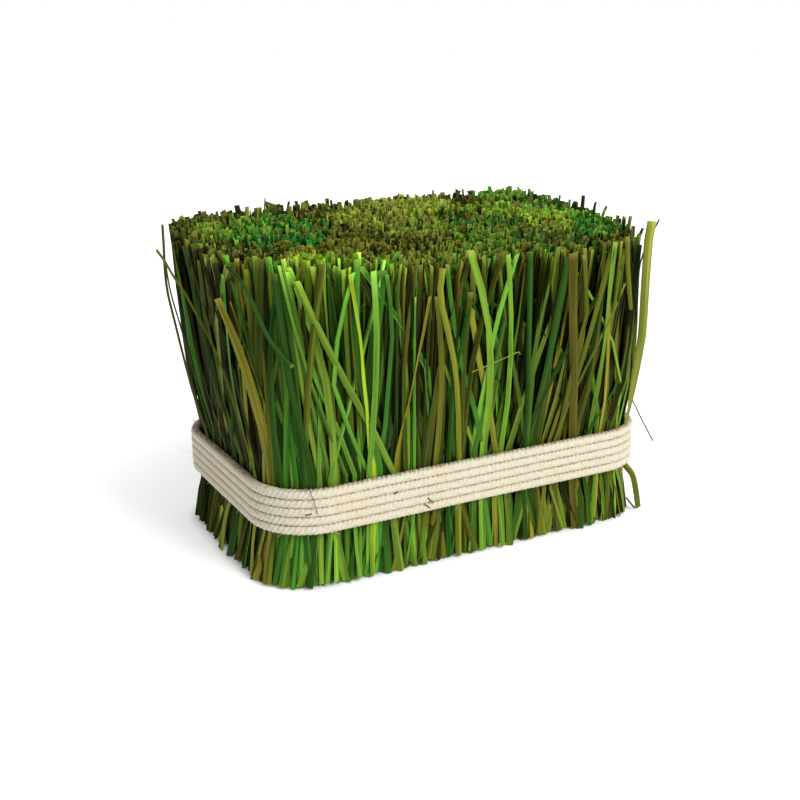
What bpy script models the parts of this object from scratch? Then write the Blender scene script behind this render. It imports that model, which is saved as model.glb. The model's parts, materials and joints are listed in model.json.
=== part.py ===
"""A block of dyed dried grass, cut level and bound round its waist by five turns of cotton rope.

The origin is on the ground under the middle of the block. The long front faces -Y and up is +Z.
The grass stands in fifteen sheaves, one for each dyed handful, with single blades lying against
the outside, under the rope.
"""
import math
import random

import bmesh
import bpy
from mathutils import Vector

# Driving dimensions, in metres
BAND_LENGTH = 0.240
BAND_WIDTH = 0.151
BAND_FOOT = 0.0326
ROPE_THICKNESS = 0.0045
ROPE_TURNS = 5
REST_GAP = 0.0003
ROPE_PITCH = ROPE_THICKNESS + REST_GAP
CORNER_RADIUS = 0.0330
CORNER_STEPS = 5
ROPE_END_FROM_CORNER = 0.020
ROPE_START_DROP = 0.4

# The rope starts lower by a part of its pitch, so that its turns are level with the band in front.
# The waist is what the rope leaves, and the sheaves keep room for two layers of blades over them
WAIST_LENGTH = BAND_LENGTH / 2 - ROPE_THICKNESS - REST_GAP
WAIST_WIDTH = BAND_WIDTH / 2 - ROPE_THICKNESS - REST_GAP
WAIST_CORNER = CORNER_RADIUS - ROPE_THICKNESS - REST_GAP
BLADE_THICKNESS = 0.0007
OUTER_LAYER = BLADE_THICKNESS / 2
INNER_LAYER = 0.0015
SHEAF_INSET = 0.0024

# The block's outline: height, half length, half width, corner radius
OUTLINE = (
    (0.000, 0.1205, 0.0722, 0.0340),
    (0.030, WAIST_LENGTH, WAIST_WIDTH, WAIST_CORNER),
    (0.060, WAIST_LENGTH, WAIST_WIDTH, WAIST_CORNER),
    (0.110, 0.1240, 0.0760, 0.0360),
    (0.167, 0.1300, 0.0818, 0.0460),
)
WALL_HEIGHTS = [level[0] for level in OUTLINE[:-1]]

# The cut top rises towards the back and at the front left corner
FRONT_HEIGHT = 0.1660
BACK_RISE = 0.0085
CORNER_RISE = 0.0070
CORNER_SPREAD = 0.25
TUFT_SINK = 0.0065
TUFT_RISE = 0.0140

# Sheaves: edges of the columns from left to right and of the rows from front to back, as
# fractions of the half length and half width, and the cells that each sheaf is cut into
COLUMN_EDGES = (-1.0, -0.61, -0.20, 0.21, 0.60, 1.0)
ROW_EDGES = (-1.0, -0.35, 0.33, 1.0)
CELLS_ALONG = 5
CELLS_ACROSS = 4
ROW_NAMES = ("front", "middle", "back")
SHEAF_GAP = 0.05
CELL_JITTER = 0.16
RIDGE_DEPTH = 0.0019
TUFT_BORDER = 0.12
TUFT_RANGE = (0.25, 0.95)
SINK_RANGE = (0.5, 1.5)

# Dye of each sheaf, row by row, from left to right
SHEAF_DYES = {
    "front": ((0.13, 0.36, 0.03), (0.17, 0.40, 0.03), (0.10, 0.17, 0.03), (0.11, 0.14, 0.02),
              (0.14, 0.15, 0.02)),
    "middle": ((0.06, 0.08, 0.01), (0.03, 0.13, 0.04), (0.13, 0.12, 0.03), (0.12, 0.16, 0.02),
               (0.07, 0.11, 0.02)),
    "back": ((0.08, 0.10, 0.02), (0.07, 0.08, 0.02), (0.22, 0.27, 0.03), (0.10, 0.28, 0.02),
             (0.19, 0.42, 0.03)),
}

# Blades: where each crosses the outline as it rises. A place counts anticlockwise in sides,
# 0 at the front left corner, 1 at the front right one, 2 and 3 at the two back ones.
BLADE_FOOT = 0.0012
TIP_CLEARANCE = 0.004
TIP_SLANT = 0.17
PLACE_STEP = 0.001
BLADE_HEIGHTS = (0.016, 0.030, 0.060, 0.085, 0.110, 0.130, 0.150)
SHOWN_BLADES = (
    # name, layer, width, outward throw of the tip, dye, then (height, place) from waist to tip
    ("corner_broad", OUTER_LAYER, 0.0060, 0.004, (0.30, 0.30, 0.05),
     ((0.061, 3.893), (0.087, 3.903), (0.119, 3.866), (0.152, 3.765))),
    ("front_dark", OUTER_LAYER, 0.0042, 0.001, (0.04, 0.12, 0.02),
     ((0.060, 0.085), (0.110, 0.060), (0.168, 0.035))),
    ("front_lime", OUTER_LAYER, 0.0046, 0.001, (0.45, 0.55, 0.03),
     ((0.058, 0.232), (0.084, 0.220), (0.135, 0.208), (0.166, 0.191))),
    ("front_bent", OUTER_LAYER, 0.0040, 0.001, (0.45, 0.42, 0.06),
     ((0.060, 0.455), (0.104, 0.436), (0.127, 0.413), (0.155, 0.377), (0.164, 0.389))),
    ("front_bright", OUTER_LAYER, 0.0050, 0.002, (0.22, 0.42, 0.03),
     ((0.060, 0.520), (0.092, 0.525), (0.122, 0.511), (0.154, 0.474), (0.172, 0.444))),
    ("front_thin", OUTER_LAYER, 0.0034, 0.000, (0.10, 0.20, 0.02),
     ((0.060, 0.640), (0.110, 0.615), (0.167, 0.590))),
    ("front_olive", OUTER_LAYER, 0.0062, 0.001, (0.24, 0.20, 0.04),
     ((0.055, 0.785), (0.134, 0.713), (0.165, 0.692))),
    ("front_long", OUTER_LAYER, 0.0042, 0.002, (0.14, 0.28, 0.02),
     ((0.061, 0.833), (0.112, 0.826), (0.168, 0.802))),
    ("right_broad", OUTER_LAYER, 0.0060, 0.006, (0.30, 0.28, 0.05),
     ((0.060, 0.960), (0.098, 0.930), (0.139, 0.905), (0.178, 0.880))),
    ("front_wide_green", INNER_LAYER, 0.0056, 0.000, (0.12, 0.24, 0.02),
     ((0.052, 0.178), (0.100, 0.224), (0.137, 0.249), (0.165, 0.262))),
    ("front_gold", INNER_LAYER, 0.0046, 0.000, (0.38, 0.30, 0.03),
     ((0.060, 0.290), (0.086, 0.308), (0.105, 0.325), (0.136, 0.352), (0.150, 0.360))),
    ("front_crossing", INNER_LAYER, 0.0040, 0.000, (0.18, 0.38, 0.03),
     ((0.060, 0.495), (0.113, 0.516), (0.135, 0.529), (0.167, 0.561))),
)
OTHER_BLADES = (
    # side, first and last place at the waist, blades in each layer
    ("right", 1.14, 1.88, 3),
    ("back", 2.08, 2.94, 6),
    ("left", 3.10, 3.72, 3),
)
OTHER_FRONT = (0.06, 0.66, 0.74, 0.90)
LEAN = (0.004, 0.020)
TIP_RANGE = (-0.004, 0.006)
MOST_THROW = 0.002
BLADE_WIDTHS = (0.0036, 0.0058)
BLADE_DYES = ((0.12, 0.20, 0.02), (0.20, 0.20, 0.04), (0.10, 0.30, 0.03), (0.06, 0.11, 0.02),
              (0.30, 0.30, 0.05))

COTTON = (0.83, 0.78, 0.68)
GRASS_ROUGHNESS = 0.62
COTTON_ROUGHNESS = 0.92
SEED = 7


def clear_scene():
    """Removes whatever the scene holds."""
    for thing in list(bpy.data.objects):
        bpy.data.objects.remove(thing)


def add_object(name, data, colour, roughness):
    """Puts a mesh or a curve in the collection under its name, with a material of its own."""
    material = bpy.data.materials.new(name)
    material.use_nodes = True
    shader = material.node_tree.nodes["Principled BSDF"]
    shader.inputs["Base Color"].default_value = (*colour, 1)
    shader.inputs["Roughness"].default_value = roughness
    shader.inputs["Metallic"].default_value = 0
    data.materials.append(material)
    thing = bpy.data.objects.new(name, data)
    collection.objects.link(thing)
    return thing


def finish_mesh(bm, name):
    """Turns a bmesh into a mesh whose faces all point outwards."""
    bmesh.ops.recalc_face_normals(bm, faces=bm.faces)
    mesh = bpy.data.meshes.new(name)
    bm.to_mesh(mesh)
    bm.free()
    return mesh


# The block's shape
def blend(first, last, part):
    """The value a given part of the way from the first to the last."""
    return first + (last - first) * part


def outline_at(height):
    """Half length, half width and corner radius of the block at a height."""
    for low, high in zip(OUTLINE, OUTLINE[1:]):
        if height <= high[0] or high is OUTLINE[-1]:
            part = (height - low[0]) / (high[0] - low[0])
            return [blend(a, b, part) for a, b in zip(low[1:], high[1:])]


def block_point(u, v, height, inset):
    """Takes a place in the square from -1 to 1 to its place in the rounded block."""
    half_length, half_width, corner = (size - inset for size in outline_at(height))
    reach = max(abs(u), abs(v))
    corner *= reach
    x = half_length * u / reach
    y = half_width * v / reach
    past_x = abs(x) - (half_length - corner)
    past_y = abs(y) - (half_width - corner)
    if past_x > 0 and past_y > 0:
        pull = corner / math.hypot(past_x, past_y)
        x = math.copysign(half_length - corner + past_x * pull, x)
        y = math.copysign(half_width - corner + past_y * pull, y)
    return Vector((x * reach, y * reach, height))


def side_point(place, height, inset):
    """A point on the block's side, at a place counted anticlockwise in sides."""
    along = 2 * (place % 1) - 1
    u, v = ((along, -1), (1, along), (-along, 1), (-1, -along))[int(place % 4)]
    return block_point(u, v, height, inset)


def top_height(u, v):
    """Height of the cut top at a place in the square."""
    from_corner = (u + 1) ** 2 + (v + 1) ** 2
    corner_rise = CORNER_RISE * math.exp(-from_corner / CORNER_SPREAD)
    return FRONT_HEIGHT + BACK_RISE * (v + 1) / 2 + corner_rise


# Sheaves
def cut_lines(edges, cells):
    """The lines that cut the block into cells, evenly spaced between the sheaves' edges."""
    lines = [blend(low, high, cell / cells) for low, high in zip(edges, edges[1:])
             for cell in range(cells)]
    return lines + [edges[-1]]


def cell_corners(randomness):
    """Where the cell corners lie in the square, with ridges outside, and how deep they sink."""
    columns = cut_lines(COLUMN_EDGES, CELLS_ALONG)
    rows = cut_lines(ROW_EDGES, CELLS_ACROSS)
    corners = {}
    for i, column in enumerate(columns):
        for j, row in enumerate(rows):
            on_side = i in (0, len(columns) - 1)
            on_front = j in (0, len(rows) - 1)
            groove = (i + j) % 2 * RIDGE_DEPTH
            u, v = column, row
            if on_side and not on_front:
                u *= 1 - groove / WAIST_LENGTH
            if on_front and not on_side:
                v *= 1 - groove / WAIST_WIDTH
            if not on_side:
                u += randomness.uniform(-CELL_JITTER, CELL_JITTER) * 2 / (len(columns) - 1)
            if not on_front:
                v += randomness.uniform(-CELL_JITTER, CELL_JITTER) * 2 / (len(rows) - 1)
            corners[i, j] = (u, v, randomness.uniform(*SINK_RANGE))
    return corners


def between_corners(corners, i, j):
    """The place in the square, and the sink, of a point that may lie inside a cell."""
    i_low = min(int(i), len(COLUMN_EDGES[1:]) * CELLS_ALONG - 1)
    j_low = min(int(j), len(ROW_EDGES[1:]) * CELLS_ACROSS - 1)
    place = []
    for axis in range(3):
        front = blend(corners[i_low, j_low][axis], corners[i_low + 1, j_low][axis], i - i_low)
        back = blend(corners[i_low, j_low + 1][axis], corners[i_low + 1, j_low + 1][axis],
                     i - i_low)
        place.append(blend(front, back, j - j_low))
    return place


def off_the_neighbour(position, first, last, final):
    """Moves a sheaf's edge a hair inwards, unless it is the outside of the block."""
    if position == first and first > 0:
        return position + SHEAF_GAP
    if position == last and last < final:
        return position - SHEAF_GAP
    return position


def add_sheaf(row, column, corners, randomness):
    """One dyed handful of grass, with ridged sides and a top of tufts cut at unlike heights."""
    first_i, first_j = column * CELLS_ALONG, row * CELLS_ACROSS
    last_i, last_j = first_i + CELLS_ALONG, first_j + CELLS_ACROSS
    bm = bmesh.new()
    bmesh.ops.create_grid(bm, x_segments=CELLS_ALONG, y_segments=CELLS_ACROSS, size=0.5)
    for vert in bm.verts:
        vert.co.x = first_i + round((vert.co.x + 0.5) * CELLS_ALONG)
        vert.co.y = first_j + round((vert.co.y + 0.5) * CELLS_ACROSS)

    top = list(bm.faces)
    for level in range(len(WALL_HEIGHTS)):
        below = top
        raised = bmesh.ops.extrude_face_region(bm, geom=below)["geom"]
        top = [piece for piece in raised if isinstance(piece, bmesh.types.BMFace)]
        for vert in {vert for face in top for vert in face.verts}:
            vert.co.z = level + 1
        if level > 0:
            bmesh.ops.delete(bm, geom=below, context="FACES")

    top.sort(key=lambda face: tuple(face.calc_center_median()))
    tufts = randomness.sample(top, len(top) // 2)
    bmesh.ops.inset_individual(bm, faces=tufts, thickness=TUFT_BORDER)
    raised = bmesh.ops.extrude_discrete_faces(bm, faces=tufts)["faces"]
    for face in raised:
        rise = randomness.uniform(*TUFT_RANGE)
        for vert in face.verts:
            vert.co.z += rise

    final_i = len(COLUMN_EDGES[1:]) * CELLS_ALONG
    final_j = len(ROW_EDGES[1:]) * CELLS_ACROSS
    for vert in bm.verts:
        i = off_the_neighbour(vert.co.x, first_i, last_i, final_i)
        j = off_the_neighbour(vert.co.y, first_j, last_j, final_j)
        u, v, sink = between_corners(corners, i, j)
        level = vert.co.z
        if level < len(WALL_HEIGHTS):
            height = WALL_HEIGHTS[int(level)]
        else:
            tuft_rise = TUFT_RISE * (level - len(WALL_HEIGHTS))
            height = top_height(u, v) - TUFT_SINK * sink + tuft_rise
        vert.co = block_point(u, v, height, SHEAF_INSET)
    foot = [face for face in bm.faces if all(vert.co.z == 0 for vert in face.verts)]
    bmesh.ops.dissolve_faces(bm, faces=foot)

    name = f"sheaf_{ROW_NAMES[row]}_{column + 1}"
    dye = SHEAF_DYES[ROW_NAMES[row]][column]
    add_object(name, finish_mesh(bm, name), dye, GRASS_ROUGHNESS)


# Blades lying against the outside
def place_at(route, height):
    """Where a blade's route crosses the outline at a height."""
    pairs = list(zip(route, route[1:]))
    for low, high in pairs:
        if height <= high[0] or (low, high) == pairs[-1]:
            part = max(0, (height - low[0]) / (high[0] - low[0]))
            return blend(low[1], high[1], part)


def add_blade(name, layer, width, throw, dye, route):
    """One flat blade of grass, standing against the block's outside and held by the rope."""
    tip = route[-1][0]
    heights = [BLADE_FOOT, *(height for height in BLADE_HEIGHTS if height < tip - TIP_CLEARANCE), tip]
    rope_top = WALL_HEIGHTS[2]
    bm = bmesh.new()
    bmesh.ops.create_grid(bm, x_segments=1, y_segments=len(heights) - 1, size=0.5)
    for vert in bm.verts:
        edge = round(vert.co.x * 2)
        height = heights[round((vert.co.y + 0.5) * (len(heights) - 1))]
        place = place_at(route, height)
        above_rope = max(0, height - rope_top) / (tip - rope_top)
        inset = layer - throw * above_rope ** 2
        ahead = side_point(place + PLACE_STEP, height, inset)
        behind = side_point(place - PLACE_STEP, height, inset)
        vert.co = side_point(place, height, inset) + (ahead - behind).normalized() * (edge * width / 2)
        if height == tip:
            vert.co.z += edge * width * TIP_SLANT
    blade = add_object(name, finish_mesh(bm, name), dye, GRASS_ROUGHNESS)
    solidify = blade.modifiers.new("thickness", "SOLIDIFY")
    solidify.thickness = BLADE_THICKNESS
    solidify.offset = 0


def add_leaning_blade(name, layer, place, randomness):
    """A blade that leans one way in the outer layer and the other way in the inner one."""
    lean = randomness.uniform(*LEAN) * (-1 if layer == OUTER_LAYER else 1)
    side_length = 2 * (WAIST_LENGTH if int(place) % 2 == 0 else WAIST_WIDTH)
    tip_place = place + lean / side_length
    tip = FRONT_HEIGHT + randomness.uniform(*TIP_RANGE)
    width = randomness.uniform(*BLADE_WIDTHS)
    throw = randomness.uniform(0, MOST_THROW) if layer == OUTER_LAYER else 0
    route = ((WALL_HEIGHTS[2], place), (tip, tip_place))
    add_blade(name, layer, width, throw, randomness.choice(BLADE_DYES), route)


def add_blades(randomness):
    """The blades that stand out in the front, and others like them all the way round."""
    for name, layer, width, throw, dye, route in SHOWN_BLADES:
        add_blade(f"blade_{name}", layer, width, throw, dye, route)
    for number, place in enumerate(OTHER_FRONT, 1):
        add_leaning_blade(f"blade_front_{number}", INNER_LAYER, place, randomness)
    for side, first, last, count in OTHER_BLADES:
        step = (last - first) / (2 * count - 1)
        for number in range(2 * count):
            layer = (OUTER_LAYER, INNER_LAYER)[number % 2]
            add_leaning_blade(f"blade_{side}_{number + 1}", layer, first + step * number, randomness)


# Rope
def rope_points():
    """The rope's middle line: turn on turn round the waist, rising by its own pitch each time."""
    half_length = (BAND_LENGTH - ROPE_THICKNESS) / 2
    half_width = (BAND_WIDTH - ROPE_THICKNESS) / 2
    radius = CORNER_RADIUS - ROPE_THICKNESS / 2
    round_out = radius / math.cos(math.radians(90 / CORNER_STEPS / 2))
    end_x = -half_length + radius + ROPE_END_FROM_CORNER
    corners = ((-1, 1, 90), (-1, -1, 180), (1, -1, 270), (1, 1, 0))

    plan = [Vector((end_x, half_width))]
    for turn in range(ROPE_TURNS):
        for side_x, side_y, first_angle in corners:
            centre = Vector((side_x * (half_length - radius), side_y * (half_width - radius)))
            for step in range(CORNER_STEPS + 1):
                angle = math.radians(first_angle + 90 * step / CORNER_STEPS)
                reach = radius if step in (0, CORNER_STEPS) else round_out
                plan.append(centre + reach * Vector((math.cos(angle), math.sin(angle))))
    plan.append(Vector((end_x + ROPE_THICKNESS, half_width)))

    turn_length = 4 * (half_length + half_width) - (8 - 2 * math.pi) * radius
    travelled = 0
    points = []
    for here, before in zip(plan, [plan[0], *plan]):
        travelled += (here - before).length
        rise = ROPE_PITCH * (travelled / turn_length - ROPE_START_DROP)
        points.append((here.x, here.y, BAND_FOOT + ROPE_THICKNESS / 2 + rise))
    return points


def add_rope():
    """One cotton rope wound five times round the waist, turns side by side."""
    points = rope_points()
    curve = bpy.data.curves.new("rope_binding", "CURVE")
    curve.dimensions = "3D"
    curve.bevel_depth = ROPE_THICKNESS / 2
    curve.bevel_resolution = 2
    curve.use_fill_caps = True
    curve.twist_mode = "Z_UP"
    spline = curve.splines.new("POLY")
    spline.points.add(len(points) - 1)
    for spot, point in zip(spline.points, points):
        spot.co = (*point, 1)
    add_object("rope_binding", curve, COTTON, COTTON_ROUGHNESS)


clear_scene()
collection = bpy.data.collections.new("grass_hay_bale")
bpy.context.scene.collection.children.link(collection)
chance = random.Random(SEED)
cell_places = cell_corners(chance)
for row_number in range(len(ROW_NAMES)):
    for column_number in range(len(COLUMN_EDGES) - 1):
        add_sheaf(row_number, column_number, cell_places, chance)
add_blades(chance)
add_rope()
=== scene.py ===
import json
import math

import bpy
import numpy as np
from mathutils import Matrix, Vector


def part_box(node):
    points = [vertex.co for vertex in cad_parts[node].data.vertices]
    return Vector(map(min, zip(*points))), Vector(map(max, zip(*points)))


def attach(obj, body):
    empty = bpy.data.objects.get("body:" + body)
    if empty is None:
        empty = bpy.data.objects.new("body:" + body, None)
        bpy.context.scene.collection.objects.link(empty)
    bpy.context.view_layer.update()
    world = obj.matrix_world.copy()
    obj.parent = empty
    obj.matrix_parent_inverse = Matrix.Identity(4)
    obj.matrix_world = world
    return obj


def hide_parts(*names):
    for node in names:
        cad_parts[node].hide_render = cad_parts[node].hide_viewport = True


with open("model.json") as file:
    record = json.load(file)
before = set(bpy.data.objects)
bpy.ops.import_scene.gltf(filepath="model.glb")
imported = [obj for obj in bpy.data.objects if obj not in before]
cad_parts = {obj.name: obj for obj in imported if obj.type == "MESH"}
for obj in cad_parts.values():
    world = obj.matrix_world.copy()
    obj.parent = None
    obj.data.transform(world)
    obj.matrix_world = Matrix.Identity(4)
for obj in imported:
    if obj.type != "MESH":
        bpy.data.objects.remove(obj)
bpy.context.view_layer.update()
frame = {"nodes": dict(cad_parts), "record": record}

bpy.ops.object.select_all(action="DESELECT")
chance = np.random.default_rng(21)
MM = 0.001

# The block's shape, from the band that the rope makes round its waist
band_low, band_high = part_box("rope_binding")
HALF_BAND_LENGTH = band_high.x
HALF_BAND_WIDTH = band_high.y
BAND_CORNER = 0.0330
ROPE_THICKNESS = 0.0048
CAD_ROPE_THICKNESS = 0.0045
ROPE_TURNS = 5
WAIST = (HALF_BAND_LENGTH - ROPE_THICKNESS, HALF_BAND_WIDTH - ROPE_THICKNESS, BAND_CORNER - ROPE_THICKNESS)
WAIST_LOW = 0.030
WAIST_HIGH = 0.060

# Outline: height, half length, half width, corner radius
OUTLINE = np.array([
    (0.000, 0.1205, 0.0722, 0.0340),
    (0.024, 0.1172, 0.0720, 0.0300),
    (WAIST_LOW, *WAIST),
    (WAIST_HIGH, *WAIST),
    (0.068, 0.1180, 0.0728, 0.0300),
    (0.110, 0.1240, 0.0760, 0.0360),
    (0.167, 0.1300, 0.0818, 0.0460),
    (0.190, 0.1324, 0.0841, 0.0500),
])
FRONT_HEIGHT = 0.1660
BACK_RISE = 0.0085
CORNER_RISE = 0.0070
CORNER_SPREAD = 0.25

# Where the block stands further in at the top: place, spread and way in
HOLLOWS = (
    ((0.126, -0.058), 0.040, (-0.0088, 0.0047)),
    ((-0.130, 0.045), 0.050, (0.0028, -0.0003)),
)
HOLLOW_LOW, HOLLOW_HIGH = 0.088, 0.158

# The levels along each kind of blade and fibre, from foot to tip, at which it can bend
INNER_LEVELS = (0.0, 0.17, 0.36, 0.80, 0.94, 1.0)
OUTER_LEVELS = (0.0, 0.10, 0.18, 0.34, 0.50, 0.66, 0.80, 0.91, 1.0)
LONG_LEVELS = tuple(number / 16 for number in range(17))
FIBRE_LEVELS = (0.0, 0.35, 0.7, 1.0)

# The blades inside the block: how far apart they stand, how unevenly, and how far inside the rope
INNER_SPACING = 2.5 * MM
INNER_UNEVENNESS = 0.40
INNER_MARGIN = 2.6 * MM

# Small holes in the cut top, where the blades are shorter: how many, how wide, and how deep in mm
HOLE_COUNT = 22
HOLE_RADIUS = 3.2 * MM
HOLE_DEPTH = (4, 11)

# How far in mm the inner blades lean, and how far their feet and their cut tips stand apart
INNER_LEAN = 2.2
INNER_FOOT_SPREAD = 1.0
INNER_TIP_SPREAD = 0.9

# Outer blades that are cut shorter: their share, and by how much in mm
SHORT_SHARE = 0.10
SHORTER_BY = (5, 30)

# How far in mm the outer blades lean, those that lie loosely and the others, and how far they bow and splay
LOOSE_SHARE = 0.62
LOOSE_LEAN = 28.0
TIGHT_LEAN = 9.0
BOW = 3.6
OUTER_FOOT_SPREAD = 5.0

# Outer blades that are bent: their share, how far in mm, and from what share of the way up
BENT_SHARE = 0.40
BEND = 46
BEND_START = (0.35, 0.75)

# Random shapes: share rolled up, roll of those, roll of the others, thickness in mm, fold, crease, end slant
INNER_SHAPES = (0.75, (1.6, 4.2), (0.3, 1.2), (0.15, 0.26), (0.0, 0.5), (1.0, 1.6), 0.3)
OUTER_SHAPES = (0.30, (1.2, 3.2), (0.2, 0.9), (0.14, 0.24), (0.3, 0.95), (1.0, 2.0), 0.14)

# Half widths in mm: the least, the commonest and the most
INNER_HALF_WIDTHS = (1.1, 1.8, 2.8)
OUTER_HALF_WIDTHS = (0.8, 1.65, 2.6)

# The layers of blades round the outside: how many, how deep in mm, and how bright, the deeper ones darkened
# by painted shade
OUTER_LAYERS = ((112, 0.6, 1.0), (124, 1.5, 0.86), (144, 2.5, 0.62), (160, 3.6, 0.36))

# By level from foot to tip: how bright the inner blades are, darkened by painted shade inside the block and
# brightened by painted light at the cut tips, and how strongly a layer's painted shade shows
INNER_SHADE = ((0, 0.1, 0.80, 0.94, 1), (0.9, 0.4, 0.26, 0.60, 1.25))
LAYER_SHADE = ((0.0, 0.19, 0.34, 0.50, 0.85, 1.0), (0.15, 0.4, 1.0, 1.5, 1.6, 1.0))

# How green the painted light at the foot, below the rope, makes the darker blades, and where along them it
# ends
PAINTED_FOOT_LIGHT_GREEN = 0.27
PAINTED_FOOT_LIGHT_LEVEL = 0.19

# Where the front left gets painted light at its foot and on its cut tips, and where cut tips at the rim get
# more painted light: places along the sides, and spreads
LEFT_GLOW = (0.12, 0.26)
RIM_GLOWS = ((0.14, 0.07), (-0.03, 0.05))

# How far round a blade is rolled up to the waist, as a share of the roll at its dry tip
ROLL_AT_WAIST = 0.35

# How wide the blades that stand out are next to the CAD model's, and how far off the rest they stand
SHOWN_WIDTH = 0.86
SHOWN_WAY_OUT = 1.2 * MM

# The rope: the length of one twist, its strands, and the steps and sides of its mesh
ROPE_LAY = 8.1 * MM
STRAND_CENTRE = 0.54 * MM
STRAND_RADIUS = 1.80 * MM
ROPE_STEPS = 5760
STRAND_SIDES = 4
ROPE_SIDES = 3 * STRAND_SIDES
ROPE_MAP_ROWS = 24
ROPE_END_GAP = 0.020
SEAM_EDGE = 1.3 * MM

# Fibres that stand off the rope: along it, those of them at its worn corner, at each end, and their radii
LOOSE_FIBRES = 3000
WORN_FIBRES = 260
FRAYED_FIBRES = 90
FIBRE_RADIUS = 0.035 * MM
WORN_FIBRE_RADIUS = 0.07 * MM

# The sheaves' edges, as fractions of the half length and half width
COLUMN_EDGES = (-1.0, -0.61, -0.20, 0.21, 0.60, 1.0)
ROW_EDGES = (-1.0, -0.35, 0.33, 1.0)
ROW_NAMES = ("front", "middle", "back")

# Dyes, as they show in daylight
DYES = {
    "bright": (80, 125, 44),
    "green": (62, 110, 38),
    "leaf": (86, 118, 40),
    "deep": (36, 64, 22),
    "dark": (32, 39, 12),
    "lime": (110, 142, 44),
    "pale": (124, 134, 56),
    "teal": (14, 84, 35),
    "sea": (28, 112, 42),
    "olive": (98, 104, 38),
    "moss": (66, 76, 24),
    "brown": (82, 78, 28),
    "umber": (48, 45, 15),
    "gold": (98, 97, 28),
    "acid": (118, 144, 38),
    "straw": (114, 110, 40),
    "ash": (80, 80, 60),
}

# The dyed tufts that show on the cut top: place, rise and roughness in mm, and dyes by share
TUFTS = (
    (-0.97, 0.42, 0.0, 1.8, "dark dark moss moss olive deep"),
    (-0.97, -0.08, 0.0, 2.2, "moss olive dark olive straw gold dark deep"),
    (-0.98, -0.62, -1.0, 2.4, "brown moss olive umber dark gold deep"),
    (-0.70, 0.88, 0.0, 1.6, "dark moss moss olive deep umber"),
    (-0.82, 0.36, 1.5, 2.2, "leaf green bright lime leaf olive"),
    (-0.68, 0.22, 1.5, 2.0, "bright green bright sea leaf bright"),
    (-0.60, -0.12, 1.0, 2.2, "teal sea teal teal sea deep sea deep"),
    (-0.50, 0.46, 1.0, 1.8, "green sea bright leaf teal deep"),
    (-0.76, -0.36, 0.0, 2.2, "brown umber moss olive teal deep"),
    (-0.92, -0.98, -0.5, 2.0, "leaf acid olive bright leaf moss lime"),
    (-0.70, -0.94, -1.0, 2.0, "lime acid lime lime acid bright lime"),
    (-0.48, -0.94, -0.5, 1.6, "olive leaf moss green olive leaf lime"),
    (-0.33, 0.80, 1.0, 1.8, "moss dark umber moss olive dark"),
    (-0.40, 0.12, 0.0, 1.1, "moss olive brown dark moss umber"),
    (-0.45, -0.32, 0.0, 1.2, "olive brown moss gold moss dark"),
    (-0.14, 0.38, 0.4, 0.8, "olive olive moss leaf pale brown"),
    (-0.20, -0.28, 0.0, 1.2, "moss dark olive dark brown moss"),
    (-0.26, -0.86, -0.5, 1.6, "olive leaf moss moss brown olive"),
    (0.26, 0.72, 2.0, 1.0, "pale olive lime olive leaf pale"),
    (0.08, 0.02, 0.0, 0.9, "leaf olive moss leaf olive olive"),
    (0.52, 0.78, 1.0, 1.6, "umber dark moss dark umber moss"),
    (0.36, 0.05, 0.0, 1.3, "teal deep green moss dark"),
    (0.32, -0.34, 0.0, 1.2, "olive moss leaf green deep"),
    (0.84, 0.86, 3.2, 1.6, "bright green lime sea bright leaf"),
    (0.96, 0.56, 0.5, 1.8, "teal deep green dark leaf"),
    (0.70, 0.06, 0.8, 1.1, "lime acid acid lime bright lime"),
    (0.60, 0.36, 0.8, 1.2, "bright lime leaf olive leaf lime"),
    (0.62, -0.26, 0.0, 1.4, "leaf olive pale lime deep"),
    (0.95, -0.02, 0.0, 1.8, "bright sea lime green deep"),
    (0.79, -0.46, 0.0, 1.8, "sea teal bright green deep"),
    (0.50, -0.72, -0.5, 2.0, "deep moss dark deep olive moss"),
    (0.40, -0.52, 0.0, 1.8, "olive moss deep dark green"),
    (-0.10, -0.86, -0.5, 1.5, "leaf olive green moss olive"),
    (0.20, -0.88, -0.5, 1.6, "olive leaf moss brown green"),
    (0.82, -0.84, -1.0, 2.4, "umber moss gold olive dark moss"),
    (1.00, -0.50, -1.0, 2.4, "olive moss leaf dark"),
)

# The dyes of the outside blades: place along the sides and dyes by share
FACES = (
    (0.03, "bright green bright lime deep leaf green"),
    (0.12, "green bright lime leaf green deep bright"),
    (0.22, "green leaf bright leaf deep green green"),
    (0.33, "green leaf deep green leaf green moss"),
    (0.44, "olive leaf moss green deep dark olive"),
    (0.55, "moss olive leaf dark green deep leaf"),
    (0.66, "moss olive dark leaf deep olive green"),
    (0.77, "moss olive brown leaf dark deep"),
    (0.88, "olive moss brown leaf dark green straw"),
    (0.98, "olive moss straw brown leaf dark"),
    (1.15, "olive moss leaf dark brown deep"),
    (1.50, "leaf green olive deep moss teal"),
    (1.85, "green bright leaf deep dark"),
    (2.12, "bright green lime leaf deep"),
    (2.35, "umber dark moss olive leaf"),
    (2.55, "straw pale olive leaf moss"),
    (2.80, "moss dark umber olive deep"),
    (3.15, "dark moss umber olive dark moss"),
    (3.40, "dark moss pale dark umber straw"),
    (3.65, "dark moss dark umber deep pale moss"),
    (3.86, "moss dark olive dark umber straw"),
    (3.96, "moss leaf olive deep green"),
)

# The dyes of the blades that stand out, by name, and of the rest of each slot
SHOWN_DYES = {
    "blade_corner_broad": "straw",
    "blade_front_lime": "acid",
    "blade_front_bent": "olive",
    "blade_front_bright": "leaf",
    "blade_front_olive": "brown",
    "blade_front_long": "leaf",
    "blade_right_broad": "pale",
    "blade_front_wide_green": "green",
    "blade_front_gold": "gold",
    "blade_front_crossing": "bright",
    "blade_front_3": "moss",
    "blades_green": "green",
    "blades_dark": "deep",
    "blades_olive": "moss",
    "blades_yellow": "olive",
}
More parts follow.
